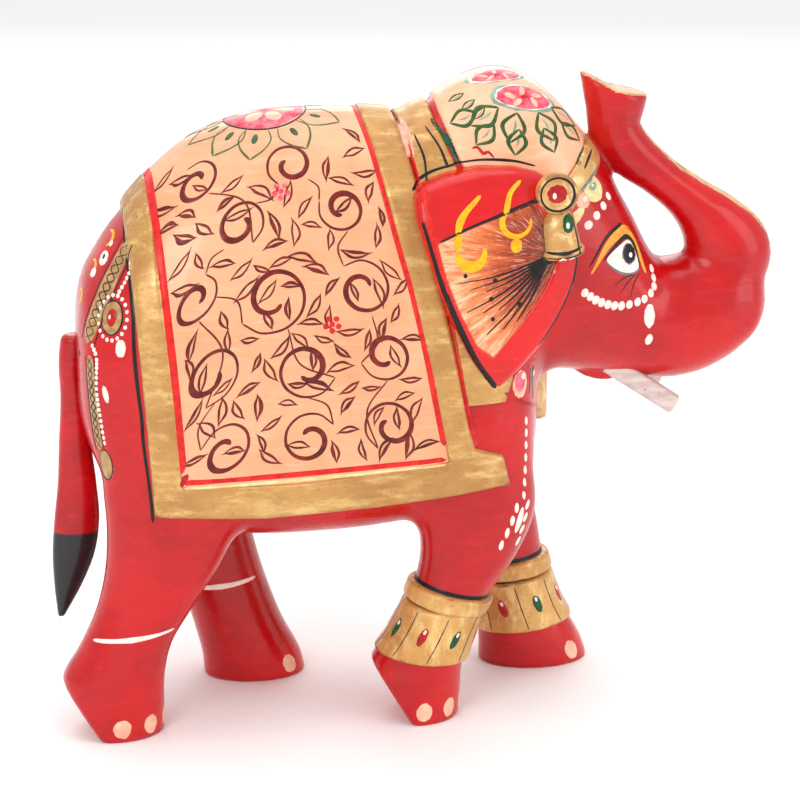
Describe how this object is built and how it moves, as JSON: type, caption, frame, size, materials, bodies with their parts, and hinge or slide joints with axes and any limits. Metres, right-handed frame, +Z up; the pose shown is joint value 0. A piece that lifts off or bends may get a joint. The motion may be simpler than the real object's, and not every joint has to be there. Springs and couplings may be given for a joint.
{
  "type": "carved wooden elephant",
  "caption": "Hand-carved painted wooden elephant, walking with trunk raised, with saddle cloth, ears, tusks, tail and anklets as separate pieces.",
  "frame": {"origin": "on the ground plane under the middle of the bounding box, between the four feet", "axes": "+X the way the elephant faces, +Y towards its left side, +Z up"},
  "size_m": [0.1706, 0.0596, 0.1516],
  "materials": {
    "red_body": "gloss",
    "red_tail": "gloss",
    "red_ear": "gloss",
    "tusk_wood": "satin",
    "peach_field": "gloss",
    "gold_cloth": "satin",
    "gold_trim": "satin",
    "gold_anklet": "satin"
  },
  "bodies": {
    "root": {"carved_body": "red_body", "tail": "red_tail", "right_tusk": "tusk_wood", "left_tusk": "tusk_wood", "right_ear": "red_ear", "left_ear": "red_ear", "right_ear_boss": "gold_trim", "left_ear_boss": "gold_trim", "right_bell": "gold_trim", "left_bell": "gold_trim", "saddle_cloth": "peach_field", "saddle_border": "gold_cloth", "neck_panel": "gold_cloth", "head_cap": "peach_field", "forehead_band": "gold_trim", "chest_plate": "gold_trim", "right_anklet_ring": "gold_anklet", "right_anklet_cuff": "gold_anklet", "left_anklet_ring": "gold_anklet", "left_anklet_cuff": "gold_anklet"}
  },
  "joints": []
}
